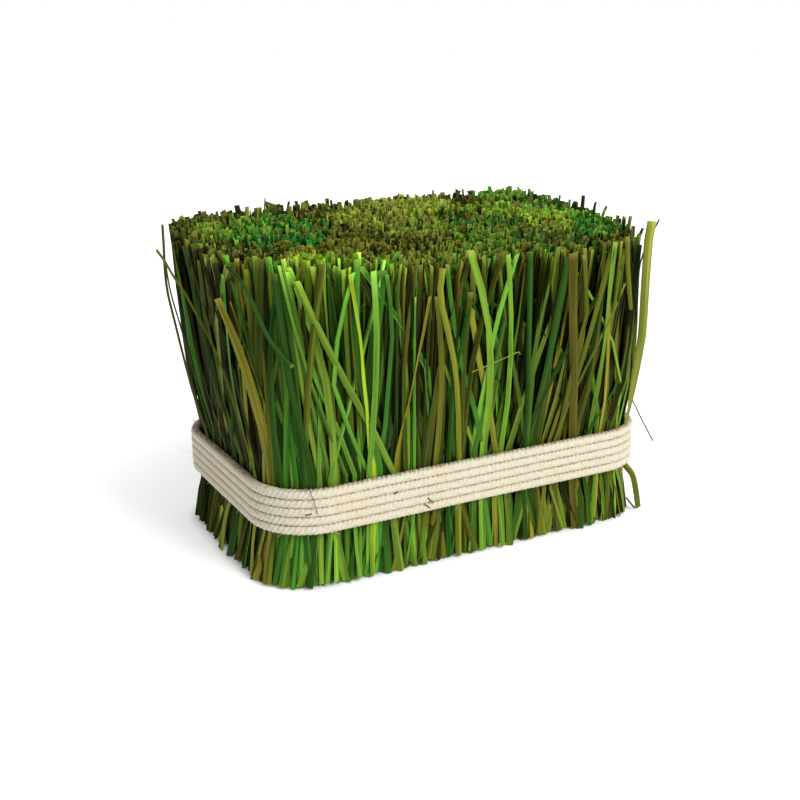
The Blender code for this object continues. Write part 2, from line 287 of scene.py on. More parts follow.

# Tints of a dye: darker and lighter where it took less or more and as painted light and shade across a
# blade's fold, yellowed, with a painted highlight at a blade's edges, and paler at its ends
DARK_TINT = (0.42, 0.47, 0.40)
LIGHT_TINT = (1.50, 1.37, 1.22)
YELLOWED_TINT = (1.42, 1.30, 0.95)
PAINTED_EDGE_HIGHLIGHT = (1.9, 1.7, 1.9)
END_TINT = (1.8, 1.75, 1.4)

# Undyed straw and cotton, as they show in daylight, with the painted shade of the rope's grooves and of the
# seams where its turns meet
STRAW_END = (188, 192, 104)
COTTON_DARK = (190, 185, 162)
COTTON_LIGHT = (206, 200, 179)
# Painted shade in the grooves between the rope's strands
PAINTED_GROOVE_SHADE = (198, 182, 156)
COTTON_STAIN = (202, 180, 158)
# Painted shade in dashes where the rope's turns meet
PAINTED_SEAM_SHADE = (148, 108, 88)
FIBRE_CREAM = (232, 222, 198)
FIBRE_WHITE = (244, 240, 228)

# How far these blades are turned on their own length
SHOWN_TURNS = {
    "blade_right_broad": -0.5,
    "blade_corner_broad": 0.45,
    "blade_front_lime": 0.8,
    "blade_front_gold": 0.8,
}

# The blade that stands free of the block, how far it leans to the right by height, and how bright it is from
# foot to tip, darkened below by painted shade
FREE_BLADE = "blade_right_broad"
FREE_LEAN = ((0.045, 0.001), (0.065, 0.0035), (0.115, 0.0025), (0.168, -0.0028))
FREE_SHADE = (0.38, 0.74)

# Loose blades: half width in mm, dye, then place along the sides, height and way out in mm
LOOSE_BLADES = (
    (1.35, "moss", ((3.30, 45, -0.5), (3.30, 63, 2.0), (3.30, 94, 3.6), (3.30, 125, 5.0), (3.30, 140, 6.2),
                    (3.30, 153, 5.4), (3.30, 165, 3.8), (3.30, 177, 2.6))),
    (1.05, "olive", ((3.81, 45, -0.5), (3.80, 62, 0.6), (3.75, 90, 1.0), (3.66, 121, 2.2), (3.56, 135, 4.5),
                     (3.50, 147, 6.5), (3.44, 153, 8.0), (3.40, 160, 8.8), (3.33, 164, 9.0))),
    (0.55, "moss", ((3.36, 45, -0.5), (3.36, 63, 0.8), (3.36, 100, 2.8), (3.36, 124, 5.0), (3.36, 140, 7.0),
                    (3.36, 150, 7.2), (3.36, 159, 7.0))),
    (0.80, "deep", ((0.98, 45, -0.8), (0.98, 60, -0.5), (0.99, 120, -3.5), (1.00, 147, -6.8),
                    (1.03, 155, -5.6), (1.06, 164, -3.4), (1.08, 168, -1.4), (1.10, 174, 1.2))),
    (1.85, "olive", ((1.02, 45, -0.6), (1.02, 33, -0.2), (1.02, 29, 2.2), (1.02, 23, 6.0), (1.02, 12, 8.0),
                    (1.02, 2.2, 9.2))),
    (1.00, "ash", ((1.02, 1.4, 9.0), (1.02, 1.6, 6.5), (1.02, 7.4, 2.0))),
    (1.90, "pale", ((3.535, 45, -0.5), (3.537, 33, 0.4), (3.538, 29, 2.2), (3.544, 16, 3.6),
                    (3.559, 3, 4.6))),
    (1.15, "deep", ((-0.20, 168, 0.0), (-0.114, 162, 2.2), (-0.015, 140, 3.2), (0.072, 122, 3.4))),
    (0.28, "pale", ((0.467, 106.7, 2.6), (0.505, 109.3, 2.8), (0.543, 111.8, 2.9), (0.579, 114.4, 2.8),
                     (0.583, 112.6, 2.4))),
    (0.45, "umber", ((1.10, 70, 0.0), (1.10, 60.9, 8.0), (1.10, 51.8, 13.1), (1.10, 42.7, 18.1))),
    (0.16, "umber", ((0.083, 60, 4.9), (0.085, 56.4, 5.5), (0.094, 51.2, 5.7), (0.102, 43.5, 5.5))),
    (0.30, "deep", ((0.365, 40.4, 5.3), (0.378, 37.0, 5.5))),
    (0.26, "dark", ((0.357, 37.4, 5.4), (0.370, 34.5, 5.2))),
    (0.26, "umber", ((0.072, 43.2, 5.3), (0.089, 43.9, 5.3))),
    (0.24, "umber", ((0.281, 46.6, 5.2), (0.291, 47.3, 5.3))),
)

# The loose blade that hangs below the rope at the right, and how far its face is turned to the front
HANGING_BLADE = 4
HANGING_TURN = -1.1

# Blades that stand above the cut top: place, rise and lean to the right in mm, half width in mm, dye
TALL_TIPS = (
    (-0.66, 0.58, 9.0, 1.6, 1.8, "pale"),
    (-0.63, 0.60, 8.0, 3.0, 1.2, "straw"),
    (-0.50, 0.78, 9.5, 3.0, 0.5, "moss"),
    (-0.92, 0.55, 5.0, -5.0, 1.2, "dark"),
    (-0.96, 0.28, 5.0, -0.5, 1.3, "moss"),
    (-0.24, 0.92, 4.0, 0.0, 1.3, "dark"),
    (-0.15, 0.87, 5.0, 0.4, 1.0, "moss"),
    (0.44, 0.95, 4.5, 0.0, 0.8, "moss"),
    (0.56, 0.92, 4.5, 0.2, 1.2, "dark"),
    (0.98, 0.17, 7.5, -0.4, 1.5, "dark"),
    (0.98, 0.06, 5.0, 2.0, 1.1, "dark"),
    (0.98, -0.02, 3.6, 4.8, 1.1, "dark"),
    (0.90, -0.48, 5.0, 0.0, 1.4, "leaf"),
    (0.87, -0.71, 9.0, 0.6, 1.35, "leaf"),
)
TO_THE_RIGHT = np.array((0.88, -0.47))

# The camera's place, its lens on a 36 mm sensor, and how many degrees it looks down and to the right
CAMERA_PLACE = (-0.31139, -0.56477, 0.27297)
CAMERA_LENS = 51.75
CAMERA_DOWN = 17.592
CAMERA_RIGHT = 28.203

# The main light's place, size and power, and the height that it faces
KEY_PLACE = (0.45, -1.40, 1.15)
KEY_SIZE = 0.75
KEY_POWER = 29.5
LIT_HEIGHT = 0.08


def linear(colour):
    """A colour as a screen shows it, from 0 to 255, as the light that it stands for."""
    return (np.array(colour, float) / 255) ** 2.2


def opaque(colour):
    """A colour as a screen shows it, as a material's colour."""
    return (*linear(colour), 1)


def dyes_of(names):
    """The dyes with these names, one row each."""
    return np.array([linear(DYES[name]) for name in names])


def unit(vectors):
    """The same directions, each of length one."""
    return vectors / np.linalg.norm(vectors, axis=-1, keepdims=True)


def level_way(angle):
    """Level directions at angles anticlockwise from the right."""
    return np.stack([np.cos(angle), np.sin(angle)], axis=-1)


# Places in the block
def outline_at(height):
    """Half length, half width and corner radius at each height."""
    return [np.interp(height, OUTLINE[:, 0], OUTLINE[:, column]) for column in (1, 2, 3)]


def past_corner(x, y, half_length, half_width, corner):
    """How far points lie past the centre of a rounded rectangle's corner, and which lie within one."""
    past_x = abs(x) - (half_length - corner)
    past_y = abs(y) - (half_width - corner)
    return past_x, past_y, (past_x > 0) & (past_y > 0)


def block_points(u, v, height, inset=0.0):
    """Takes places in the square from -1 to 1 to their places in the rounded block."""
    half_length, half_width, corner = (size - inset for size in outline_at(height))
    reach = np.maximum(np.maximum(abs(u), abs(v)), 1e-6)
    corner = corner * reach
    x = half_length * u / reach
    y = half_width * v / reach
    past_x, past_y, turned = past_corner(x, y, half_length, half_width, corner)
    pull = np.where(turned, corner / np.maximum(np.hypot(past_x, past_y), 1e-6), 1)
    x = np.where(turned, np.copysign(half_length - corner + past_x * pull, x), x)
    y = np.where(turned, np.copysign(half_width - corner + past_y * pull, y), y)
    return np.stack([x * reach, y * reach, height + 0 * x], axis=-1)


def pressed_in(points):
    """The same points, pushed in where the block stands further in."""
    pushed = points.copy()
    for middle, spread, way_in in HOLLOWS:
        away = np.hypot(points[..., 0] - middle[0], points[..., 1] - middle[1])
        up = np.clip((points[..., 2] - HOLLOW_LOW) / (HOLLOW_HIGH - HOLLOW_LOW), 0, 1)
        pushed[..., :2] += (np.exp(-(away / spread) ** 2) * up)[..., None] * np.array(way_in)
    return pushed


def square_place(place):
    """Places counted anticlockwise in sides, from the front left corner, as places in the square."""
    side = np.floor(place % 4).astype(int)
    along = 2 * (place % 1) - 1
    one = np.ones_like(along)
    return np.choose(side, [along, one, -along, -one]), np.choose(side, [-one, along, one, -along])


def side_points(place, height, inset):
    """Points on the block's sides."""
    return block_points(*square_place(place), height, inset)


def top_height(u, v):
    """Height of the cut top, which rises to the back and at the front left corner."""
    corner_rise = CORNER_RISE * np.exp(-((u + 1) ** 2 + (v + 1) ** 2) / CORNER_SPREAD)
    return FRONT_HEIGHT + BACK_RISE * (v + 1) / 2 + corner_rise


def drift(u, v, phase):
    """A smooth wander from -1 to 1 over the block."""
    waves = np.sin(3.1 * u + 1.7 * v + phase) + np.sin(-2.3 * u + 4.1 * v + 2.2 * phase)
    return (waves + np.sin(5.3 * u - 2.9 * v + 3.7 * phase)) / 3


def sheaf_of(u, v):
    """Column and row of the sheaf that stands at each place."""
    return np.digitize(u, COLUMN_EDGES[1:-1]), np.digitize(v, ROW_EDGES[1:-1])


def tuft_of(u, v):
    """Number of the dyed tuft at each place of the top. The tufts' edges wander."""
    u = u + 0.05 * drift(2.3 * u, 1.7 * v, 1.0) + chance.normal(0, 0.02, len(u))
    v = v + 0.08 * drift(1.9 * u, 2.1 * v, 4.0) + chance.normal(0, 0.03, len(u))
    spots = np.array([tuft[:2] for tuft in TUFTS])
    apart = np.hypot((u[:, None] - spots[:, 0]) * WAIST[0], (v[:, None] - spots[:, 1]) * WAIST[1])
    return apart.argmin(1)


def face_of(place):
    """Number of the stretch of the sides that is nearest to each place."""
    spots = np.array([face[0] for face in FACES])
    place = place + chance.normal(0, 0.018, len(place))
    apart = abs((place[:, None] - spots + 2) % 4 - 2)
    return apart.argmin(1)


def choose_dyes(which, palettes):
    """A dye for each blade out of its palette, a little lighter or darker than the next one."""
    which = np.where(chance.random(len(which)) < 0.02, chance.integers(0, len(palettes), len(which)), which)
    colours = np.zeros((len(which), 3))
    for number, palette in enumerate(palettes):
        here = np.flatnonzero(which == number)
        shades = dyes_of(palette.split())
        colours[here] = shades[chance.integers(0, len(shades), len(here))]
    colours *= np.exp(np.clip(chance.normal(0, 0.22, (len(which), 1)), -0.5, 0.18))
    return colours * np.exp(chance.normal(0, 0.07, (len(which), 3)))


# Blades
CROP_COLUMNS = ("points", "dye", "grain", "rise", "edge")


class Master:
    """One straight blade, modelled once, whose copies are bent into place."""

    def __init__(self, name, around, levels):
        bpy.ops.mesh.primitive_cylinder_add(vertices=around, radius=1, depth=1, location=(0, 0, 0.5),
                                            rotation=(0, 0, math.pi / 2))
        blade = bpy.context.object
        blade.name = name
        bpy.ops.object.mode_set(mode="EDIT")
        for level in levels[1:-1]:
            bpy.ops.mesh.select_all(action="SELECT")
            bpy.ops.mesh.bisect(plane_co=(0, 0, level), plane_no=(0, 0, 1))
        bpy.ops.object.mode_set(mode="OBJECT")
        bpy.ops.object.transform_apply(location=True, rotation=True, scale=True)
        mesh = blade.data
        points = np.array([vert.co for vert in mesh.vertices])
        self.across, self.depth, self.rise = points.T
        self.level = np.abs(self.rise[:, None] - np.array(levels)[None, :]).argmin(1)
        self.levels = np.array(levels)
        self.faces = [list(face.vertices) for face in mesh.polygons]
        self.flat = np.concatenate([self.unroll(np.array(face)) for face in self.faces])
        bpy.data.objects.remove(blade)
        bpy.data.meshes.remove(mesh)

    def unroll(self, face):
        """A face's corners in the blade's own strip of the map: its skin, and its two ends past the tip."""
        across, depth, rise = self.across[face], self.depth[face], self.rise[face]
        if np.ptp(rise) < 1e-4:
            middle = 0.25 + 0.5 * rise
            return np.stack([middle + 0.2 * across, 0.975 + 0.02 * depth], axis=-1)
        angle = np.arctan2(depth, across) / (2 * math.pi) % 1
        angle = np.where((np.ptp(angle) > 0.5) & (angle < 0.5), angle + 1, angle)
        return np.stack([angle - np.floor(angle.min() + 1e-4), 0.95 * rise], axis=-1)


class Crop:
    """Blades that are bent into place and waiting to be joined into pieces."""

    def __init__(self, master, centres, across, outward, dye, shade, half_width, thickness, roll, fold,
                 crease=1.2, slant=0.0):
        level = master.level
        x = master.across[None, :]
        by_level = [np.broadcast_to(value, centres.shape[:2]) for value in (half_width, roll, fold, shade)]
        half_width, roll, fold, shade = (value[:, level] for value in by_level)
        by_blade = [np.broadcast_to(value, len(centres)) for value in (thickness, crease, slant)]
        thickness, crease, slant = (value[:, None] for value in by_blade)
        across, outward = (np.broadcast_to(way, centres.shape)[:, level] for way in (across, outward))
        angle = roll * x / 2
        radius = 2 * half_width / roll
        thick = thickness * master.depth[None, :]
        sideways = radius * np.sin(angle) + thick * np.sin(angle)
        depth = fold * (1 - abs(x) ** crease) - radius * (1 - np.cos(angle)) + thick * np.cos(angle)
        points = centres[:, level] + across * sideways[..., None] + outward * depth[..., None]
        ends = (level == level.max()) | (level == 0)
        points[..., 2] += np.where(ends[None, :], slant * sideways, 0)
        points[..., 2] = np.maximum(points[..., 2], 0)
        self.master = master
        self.points = points
        # The dye that the blades carry is their dye times their painted shade and light
        self.dye = dye[:, None, :] * shade[..., None]
        self.rise = np.broadcast_to(master.rise, points.shape[:2])
        self.edge = np.broadcast_to(abs(master.across), points.shape[:2])
        seed = chance.uniform(0, 900, len(points))
        along = points[..., 2] / MM
        seeds = np.broadcast_to(seed[:, None], along.shape)
        self.grain = np.stack([half_width * x / MM, along, seeds], axis=-1)

    def part(self, chosen):
        """The same blades, only those chosen."""
        some = object.__new__(Crop)
        some.master = self.master
        for name in CROP_COLUMNS:
            setattr(some, name, getattr(self, name)[chosen])
        return some

    def column(self, name):
        """One row for each point of all the blades."""
        values = getattr(self, name)
        return values.reshape(self.points[..., 0].size, -1)


def strip_places(crops):
    """Lays every blade's own strip out in rows over the map of its piece, so that none shares a spot."""
    blades = sum(len(crop.points) for crop in crops)
    rows = max(1, round(math.sqrt(blades * 8 / 180)))
    columns = math.ceil(blades / rows)
    number = np.arange(blades)
    corner = np.stack([number % columns, number // columns], axis=-1)
    places, first = [], 0
    for crop in crops:
        here = corner[first:first + len(crop.points), None, :]
        inside = np.array([0.06, 0.01]) + np.array([0.88, 0.98]) * crop.master.flat[None, :, :]
        places.append(((here + inside) / (columns, rows)).reshape(-1, 2))
        first += len(crop.points)
    return np.concatenate(places)


def join_crops(name, crops):
    """One mesh of many blades, each with its dye and its painted shade and light, its grain and its height
    along itself.
    """
    crops = [crop for crop in crops if len(crop.points)]
    loops, sizes = [], []
    count = 0
    for crop in crops:
        blades, per_blade = crop.points.shape[:2]
        corners = np.concatenate([np.array(face) for face in crop.master.faces])
        starts = count + per_blade * np.arange(blades)
        loops.append((starts[:, None] + corners[None, :]).ravel())
        sizes.append(np.tile([len(face) for face in crop.master.faces], blades))
        count += blades * per_blade
    loops, sizes = np.concatenate(loops), np.concatenate(sizes)
    columns = {each: np.concatenate([crop.column(each) for crop in crops]) for each in CROP_COLUMNS}
    points = columns.pop("points")
    columns["dye"] = np.hstack([columns["dye"], np.ones((count, 1))])
    mesh = bpy.data.meshes.new(name)
    mesh.vertices.add(count)
    mesh.vertices.foreach_set("co", points.astype(np.float32).ravel())
    mesh.loops.add(len(loops))
    mesh.loops.foreach_set("vertex_index", loops.astype(np.int32))
    mesh.polygons.add(len(sizes))
    mesh.polygons.foreach_set("loop_start", (np.cumsum(sizes) - sizes).astype(np.int32))
    mesh.update(calc_edges=True)
    dress_mesh(mesh, strip_places(crops), columns)
    mesh.set_sharp_from_angle(angle=math.radians(48))
    return link_object(name, mesh)


def dress_mesh(mesh, places, columns):
    """Gives a mesh's corners their places on its map, and its points a row of each column."""
    kinds = {1: ("FLOAT", "value"), 3: ("FLOAT_VECTOR", "vector"), 4: ("FLOAT_COLOR", "color")}
    for name, rows in columns.items():
        kind, field = kinds[rows.shape[-1]]
        attribute = mesh.attributes.new(name, kind, "POINT")
        attribute.data.foreach_set(field, rows.astype(np.float32).ravel())
    mesh.uv_layers.new(name="OFBake").uv.foreach_set("vector", places.astype(np.float32).ravel())
    mesh.shade_smooth()


def link_object(name, data):
    thing = bpy.data.objects.new(name, data)
    bpy.context.scene.collection.objects.link(thing)
    return thing


def heights_of(master, foot, tip):
    """Height of each blade's levels, with the share of the way down and up from the waist."""
    heights = foot[:, None] + (tip - foot)[:, None] * master.levels[None, :]
    below = np.clip((WAIST_LOW - heights) / WAIST_LOW, 0, 1)
    above = np.clip((heights - WAIST_HIGH) / (tip[:, None] - WAIST_HIGH), 0, 1)
    return heights, below, above


def turn(directions, angle):
    """Turns level directions about the upright."""
    cos, sin = np.cos(angle), np.sin(angle)
    x, y = directions[..., 0], directions[..., 1]
    return np.stack([x * cos - y * sin, x * sin + y * cos], axis=-1)


def upright_frame(direction):
    """The across and outward directions of an upright blade whose width runs along a level direction."""
    level = np.zeros(direction.shape[:-1] + (1,))
    across = np.concatenate([direction, level], axis=-1)
    outward = np.concatenate([direction[..., 1:], -direction[..., :1], level], axis=-1)
    return across, outward


def blade_shapes(half_width, above, ranges, side=1):
    """Random shapes for blades, which are rolled most at their dry tips and creased to one side."""
    count = len(half_width)
    rolled_share, rolled, unrolled, thickness, fold, crease, slant = ranges
    rolled_up = chance.random(count) < rolled_share
    tip_roll = np.where(rolled_up, chance.uniform(*rolled, count), chance.uniform(*unrolled, count))
    return {
        "half_width": half_width,
        "thickness": chance.uniform(*thickness, count) * MM,
        "roll": tip_roll[:, None] * (ROLL_AT_WAIST + (1 - ROLL_AT_WAIST) * above),
        "fold": (side * chance.uniform(*fold, count))[:, None] * half_width,
        "crease": chance.uniform(*crease, count),
        "slant": chance.normal(0, slant, count),
    }


def inner_places():
    """Places in the square of the blades inside the block, on an uneven grid at the waist."""
    grid = np.meshgrid(*(np.arange(-half, half, INNER_SPACING) for half in WAIST[:2]))
    x, y = (marks.ravel() + chance.normal(0, INNER_UNEVENNESS, marks.size) * INNER_SPACING for marks in grid)
    u, v = x / (WAIST[0] - INNER_MARGIN), y / (WAIST[1] - INNER_MARGIN)
    past_x, past_y, _ = past_corner(x, y, *WAIST)
    past = np.hypot(np.maximum(past_x, 0), np.maximum(past_y, 0))
    kept = (np.maximum(abs(u), abs(v)) < 1) & (past < WAIST[2] - INNER_MARGIN)
    return unrounded(x[kept], y[kept])


def inner_heights(u, v):
    """Heights of the foot and the cut tip of each blade inside the block."""
    count = len(u)
    rise, roughness = np.array([tuft[2:4] for tuft in TUFTS])[tuft_of(u, v)].T
    foot = chance.uniform(0, 2.2, count) * MM
    tip = top_height(u, v) + (rise + roughness * chance.normal(-0.15, 0.8, count)) * MM
    holes = chance.uniform(-0.95, 0.95, (HOLE_COUNT, 2))
    near = np.hypot((u[:, None] - holes[:, 0]) * WAIST[0], (v[:, None] - holes[:, 1]) * WAIST[1]).min(1)
    tip -= np.where(near < HOLE_RADIUS, chance.uniform(*HOLE_DEPTH, count), 0) * MM
    return foot, tip


def inner_blades(master):
    """The blades inside the block: whole ones, standing side by side and cut at both ends."""
    u, v = inner_places()
    count = len(u)
    heights, below, above = heights_of(master, *inner_heights(u, v))
    leans = [2.0 * drift(3 * u, 2 * v, phase) + chance.normal(0, INNER_LEAN, count) for phase in (2.0, 7.0)]
    spreads = chance.normal(0, INNER_FOOT_SPREAD, (2, count))
    us, vs = (at[:, None] + (lean * MM / half)[:, None] * above + (spread * MM / half)[:, None] * below
              for at, lean, spread, half in zip((u, v), leans, spreads, WAIST))
    centres = pressed_in(block_points(np.clip(us, -0.985, 0.985), np.clip(vs, -0.98, 0.98), heights))
    centres[:, -1, :2] += chance.normal(0, INNER_TIP_SPREAD, (count, 2)) * MM

    angle = 2 * math.pi * drift(2 * u, 2 * v, 5.0) + chance.normal(0, 0.9, count)
    angle = angle[:, None] + chance.normal(0, 0.25, count)[:, None] * (above - below)
    direction, outward = upright_frame(level_way(angle))
    half_width = chance.triangular(*INNER_HALF_WIDTHS, count)[:, None] * MM * (1 - 0.06 * above)
    shape = blade_shapes(half_width, above, INNER_SHAPES)
    dye = choose_dyes(tuft_of(us[:, -1], vs[:, -1]), [spot[4] for spot in TUFTS])
    # Painted shade inside the block and painted light on the cut tips
    shade = np.interp(master.levels, *INNER_SHADE)
    return Crop(master, centres, direction, outward, dye, shade, **shape), sheaf_of(u, v)


def unrounded(x, y):
    """The places in the square of points at the waist, back from the rounded block."""
    half_length, half_width, corner = WAIST
    reach = np.full(len(x), 0.5)
    for _ in range(30):
        inner = corner * reach ** 2
        past_x, past_y, turned = past_corner(x, y, half_length * reach, half_width * reach, inner)
        out_turned = reach + (np.hypot(past_x, past_y) - inner) / half_length
        out_flat = np.maximum(abs(x) / half_length, abs(y) / half_width)
        reach = np.clip(np.where(turned, out_turned, out_flat), 1e-3, 1)
    inner = corner * reach ** 2
    past_x, past_y, turned = past_corner(x, y, half_length * reach, half_width * reach, inner)
    grow = inner / np.maximum(np.maximum(past_x, past_y), 1e-9)
    x = np.where(turned, np.copysign(half_length * reach - inner + past_x * grow, x), x)
    y = np.where(turned, np.copysign(half_width * reach - inner + past_y * grow, y), y)
    return np.clip(x / half_length, -1, 1), np.clip(y / half_width, -1, 1)


def waist_places(count, jitter):
    """Places spread evenly round the waist, counted in sides."""
    lengths = np.array([WAIST[0], WAIST[1], WAIST[0], WAIST[1]]) * 2
    steps = (np.arange(count) + chance.uniform(-jitter, jitter, count)) / count * lengths.sum()
    marks = np.concatenate([[0], np.cumsum(lengths)])
    return np.interp(steps % lengths.sum(), marks, np.arange(5))


def side_frame(places, heights, inset):
    """Level directions along the sides at places on them."""
    ahead = side_points(places + 0.002, heights, inset)
    behind = side_points(places - 0.002, heights, inset)
    return unit((ahead - behind)[..., :2])


def nearness(place, glow):
    """How near places along the sides are to the middle of a glow, from 0 to 1."""
    middle, spread = glow
    return np.exp(-(((place + 2 - middle) % 4 - 2) / spread) ** 2)


def outer_shade(master, place, dye, layer_shade):
    """How bright the outer blades are at their levels: darker by painted shade in deeper layers, lighter by
    painted light at their feet and on their cut tips at the front left and the rim.
    """
    near_left = nearness(place, LEFT_GLOW)
    at_rim = sum(nearness(place, glow) for glow in RIM_GLOWS)
    # Painted light at the feet lifts the darker dyes, most at the front left, and painted light brightens
    # the cut tips there and at the rim
    painted_foot_lift = np.clip((PAINTED_FOOT_LIGHT_GREEN / dye[:, 1]) ** 0.5, 0.85, 3.4) - 1
    foot_glow = (painted_foot_lift * (0.60 + 0.60 * near_left) + 0.10)[:, None]
    foot_glow = foot_glow * np.clip(1 - master.levels / PAINTED_FOOT_LIGHT_LEVEL, 0, 1) ** 0.5
    tip_glow = (0.6 * near_left + 1.6 * at_rim)[:, None] * np.clip((master.levels - 0.9) / 0.1, 0, 1)
    return layer_shade ** np.interp(master.levels, *LAYER_SHADE) * (1 + foot_glow + tip_glow)


def outer_lines(master, count, layer_depth):
    """Where one layer of outer blades runs: places and middle points, and how far they hang free."""
    place = waist_places(count, 0.48)
    foot = chance.uniform(0, 2.6, count) * MM
    tip = top_height(*square_place(place)) + chance.normal(-0.8, 2.2, count) * MM
    short = chance.random(count) < SHORT_SHARE
    tip -= np.where(short, chance.uniform(*SHORTER_BY, count), 0) * MM
    heights, below, above = heights_of(master, foot, tip)

    column = (count, 1)
    side_length = 2 * np.where(np.floor(place % 4) % 2 == 0, WAIST[0], WAIST[1])[:, None]
    most_lean = np.where(chance.random(column) < LOOSE_SHARE, LOOSE_LEAN, TIGHT_LEAN)
    lean = np.clip(chance.normal(0, 1, column), -1.6, 1.6) * most_lean * MM / side_length
    bow = chance.normal(0, BOW, column) * MM / side_length
    bent = chance.random(column) < BENT_SHARE
    bend = np.where(bent, chance.normal(0, BEND, column), 0) * MM / side_length
    bend_start = chance.uniform(*BEND_START, column)
    spread = chance.normal(0, OUTER_FOOT_SPREAD, column) * MM / side_length
    places = place[:, None] + lean * above + spread * below
    places = places + bow * np.sin(math.pi * above) + bend * np.maximum(above - bend_start, 0)
    tip_inset = layer_depth * 2.0 + chance.normal(0.8, 2.0, column) * MM
    foot_inset = layer_depth + chance.normal(0, 1.3, column) * MM
    inset = layer_depth + (tip_inset - layer_depth) * above ** 0.9 + (foot_inset - layer_depth) * below
    centres = pressed_in(side_points(places, heights, inset))
    return place, centres, side_frame(places, heights, inset), below, above


def outer_blades(master, count, layer_depth, layer_shade):
    """One layer of the blades round the outside, lying against each other under the rope."""
    place, centres, tangent, below, above = outer_lines(master, count, layer_depth)
    edge_on = chance.random(count) < 0.10
    face = np.where(edge_on, chance.choice([-1.1, 1.1], count), chance.normal(0, 0.5, count))
    twist = chance.normal(0, 0.35, count)
    free = 0.25 + 0.75 * np.maximum(above, below)
    direction, outward = upright_frame(turn(tangent, face[:, None] * free + twist[:, None] * above))
    half_width = chance.triangular(*OUTER_HALF_WIDTHS, count)[:, None] * MM
    half_width = half_width * (1 - 0.12 * above ** 3) * (1 + 0.22 * below)
    side = chance.choice([-1.0, 1.0], count, p=[0.4, 0.6])
    shape = blade_shapes(half_width, above, OUTER_SHAPES, side)
    shape["fold"] *= free
    dye = choose_dyes(face_of(place), [face[1] for face in FACES])
    shade = outer_shade(master, place, dye, layer_shade)
    return Crop(master, centres, direction, outward, dye, shade, **shape), sheaf_of(*square_place(place))


def node_route(node):
    """Middle points, across directions and half widths of a CAD blade, from its foot to its tip."""
    points = np.array([vert.co for vert in frame["nodes"][node].data.vertices])
    points = points[points[:, 2].argsort()]
    groups = np.split(points, np.flatnonzero(np.diff(points[:, 2]) > 0.0022) + 1)
    middles, acrosses, half_widths = [], [], []
    for group in groups:
        middle = (group.min(0) + group.max(0)) / 2
        offsets = group[:, :2] - middle[:2]
        far = offsets[np.linalg.norm(offsets, axis=1).argmax()]
        if acrosses and far @ acrosses[-1] < 0:
            far = -far
        middles.append(middle)
        half_widths.append(np.linalg.norm(far))
        acrosses.append(far / np.linalg.norm(far))
    if np.cross(acrosses[0], middles[0][:2]) > 0:
        acrosses = [-across for across in acrosses]
    return np.array(middles), np.array(acrosses), np.array(half_widths)


def shown_blades(master, nodes, slot):
    """The blades that stand out singly, along the same lines as the CAD model's."""
    centres, acrosses, half_widths = [], [], []
    for node in nodes:
        middles, across, half_width = node_route(node)
        foot, tip = middles[0, 2], middles[-1, 2]
        heights = foot + (tip - foot) * master.levels
        columns = np.column_stack([middles[:, :2], across, half_width]).T
        x, y, across_x, across_y, half = (np.interp(heights, middles[:, 2], column) for column in columns)
        centre = np.stack([x, y, heights], axis=-1)
        if node == FREE_BLADE:
            lean = np.interp(heights, *np.array(FREE_LEAN).T)
            centre[:, :2] += lean[:, None] * TO_THE_RIGHT
        else:
            centre = pressed_in(centre)
        centres.append(centre)
        acrosses.append(unit(np.stack([across_x, across_y], axis=-1)))
        half_widths.append(half)
    count = len(nodes)
    centres = np.array(centres)
    half_widths = np.array(half_widths) * SHOWN_WIDTH
    from_rope = abs(centres[..., 2] - (WAIST_LOW + WAIST_HIGH) / 2)
    free = np.clip(from_rope / 0.04 - 0.3, 0.25, 1)
    turned = chance.normal(0, 0.22, count) + np.array([SHOWN_TURNS.get(node, 0) for node in nodes])
    direction, outward = upright_frame(turn(np.array(acrosses), turned[:, None] * free))
    centres = centres + outward * (SHOWN_WAY_OUT * free)[..., None]
    shape = {
        "half_width": half_widths,
        "thickness": 0.2 * MM,
        "roll": chance.uniform(0.3, 1.0, count)[:, None] * free,
        "fold": chance.uniform(0.15, 0.45, count)[:, None] * half_widths * free,
        "crease": chance.uniform(1, 2, count),
        "slant": chance.normal(0, 0.15, count),
    }
    dye = dyes_of([SHOWN_DYES.get(node, SHOWN_DYES[slot]) for node in nodes])
    dye = dye * np.exp(chance.normal(0, 0.12, (count, 1)))
    shade = np.ones((count, len(master.levels)))
    # Painted shade darkens the free blade towards its foot
    if FREE_BLADE in nodes:
        shade[nodes.index(FREE_BLADE)] = np.interp(master.levels, (0, 1), FREE_SHADE)
    return Crop(master, centres, direction, outward, dye, shade, **shape)


def loose_blades(master):
    """Blades and stems that hang loose, each along its own line."""
    centres, directions = [], []
    for _, _, route in LOOSE_BLADES:
        marks = np.linspace(0, 1, len(route))
        place, height, out = (np.interp(master.levels, marks, column) for column in np.array(route).T)
        centres.append(side_points(place, height * MM, -out * MM))
        directions.append(side_frame(place, height * MM, -out * MM))
    directions[HANGING_BLADE] = turn(directions[HANGING_BLADE], HANGING_TURN)
    centres = np.array(centres)
    centres[:, 1:-1] = (centres[:, :-2] + 2 * centres[:, 1:-1] + centres[:, 2:]) / 4
    along = unit(np.gradient(centres, axis=1))
    _, outward = upright_frame(np.array(directions))
    across = unit(np.cross(outward, along))
    outward = np.cross(along, across)
    half_width = np.array([blade[0] for blade in LOOSE_BLADES])[:, None] * MM
    shape = {
        "half_width": half_width,
        "thickness": np.minimum(half_width[:, 0] * 0.8, 0.42 * MM),
        "roll": 0.7,
        "fold": 0.3 * half_width,
    }
    dye = dyes_of([blade[1] for blade in LOOSE_BLADES])
    return Crop(master, centres, across, outward, dye, 1, **shape)


